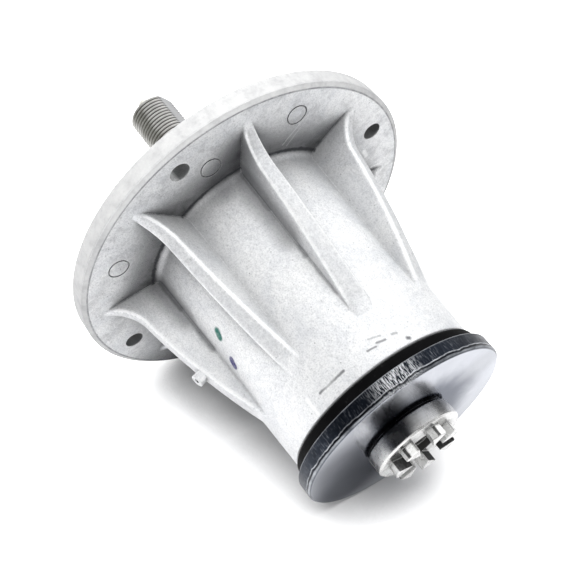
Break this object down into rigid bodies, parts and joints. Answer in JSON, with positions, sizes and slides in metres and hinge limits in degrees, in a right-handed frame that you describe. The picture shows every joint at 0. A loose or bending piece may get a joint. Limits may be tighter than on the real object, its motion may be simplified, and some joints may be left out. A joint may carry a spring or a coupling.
{
  "type": "mower deck blade spindle",
  "caption": "Flanged, ribbed cast housing that carries a turning steel spindle between ball bearings, with a threaded pulley end and a castellated blade hub.",
  "frame": {"origin": "centre of the flange's flat mounting face, on the spindle axis", "axes": "+Z along the spindle axis, from the mounting face towards the castellated blade hub; +X and +Y each through a flange bolt hole"},
  "size_m": [0.182, 0.182, 0.2477],
  "materials": {
    "cast_aluminium": "as cast, fine grit, satin",
    "machined_steel": "turned",
    "blued_steel": "dark, polished face",
    "black_rubber": "smooth",
    "bearing_steel": "ground",
    "cage_steel": "pressed",
    "seal_rubber": "matte",
    "tube_steel": "drawn",
    "spring_steel": "oiled black",
    "plated_steel": "zinc plated"
  },
  "bodies": {
    "housing": {"spindle_housing": "cast_aluminium", "blade_bearing_outer_ring": "bearing_steel", "blade_bearing_seal_front": "seal_rubber", "blade_bearing_seal_back": "seal_rubber", "pulley_bearing_outer_ring": "bearing_steel", "pulley_bearing_seal_front": "seal_rubber", "pulley_bearing_seal_back": "seal_rubber", "blade_side_snap_ring": "spring_steel", "pulley_side_snap_ring": "spring_steel"},
    "spindle": {"spindle_shaft": "machined_steel", "blade_shield_disc": "blued_steel", "dust_seal_ring": "black_rubber", "blade_bearing_inner_ring": "bearing_steel", "pulley_bearing_inner_ring": "bearing_steel", "bearing_spacer_tube": "tube_steel", "shaft_retaining_ring": "spring_steel", "grease_fitting_body": "plated_steel", "grease_check_spring": "spring_steel"},
    "blade_ball_set": {"blade_bearing_balls": "bearing_steel", "blade_bearing_cage": "cage_steel"},
    "pulley_ball_set": {"pulley_bearing_balls": "bearing_steel", "pulley_bearing_cage": "cage_steel"},
    "grease_ball": {"grease_check_ball": "bearing_steel"}
  },
  "joints": [
    {"name": "spindle_spin", "type": "hinge", "parent": "housing", "child": "spindle", "pos_m": [0, 0, 0.06], "axis": [0, 0, 1], "continuous": true},
    {"name": "blade_ball_orbit", "type": "hinge", "parent": "housing", "child": "blade_ball_set", "pos_m": [0, 0, 0.105], "axis": [0, 0, 1], "continuous": true},
    {"name": "pulley_ball_orbit", "type": "hinge", "parent": "housing", "child": "pulley_ball_set", "pos_m": [0, 0, 0.013], "axis": [0, 0, 1], "continuous": true},
    {"name": "grease_ball_lift", "type": "slide", "parent": "spindle", "child": "grease_ball", "axis": [0, 0, 1], "range_m": [0, 0.0012], "stiffness_N_per_m": 180, "springref_m": -0.001, "deforming": ["grease_check_spring"]}
  ],
  "couplings": [
    {"joint": "blade_ball_orbit", "follows": "spindle_spin", "ratio": 0.3794},
    {"joint": "pulley_ball_orbit", "follows": "spindle_spin", "ratio": 0.3678}
  ]
}
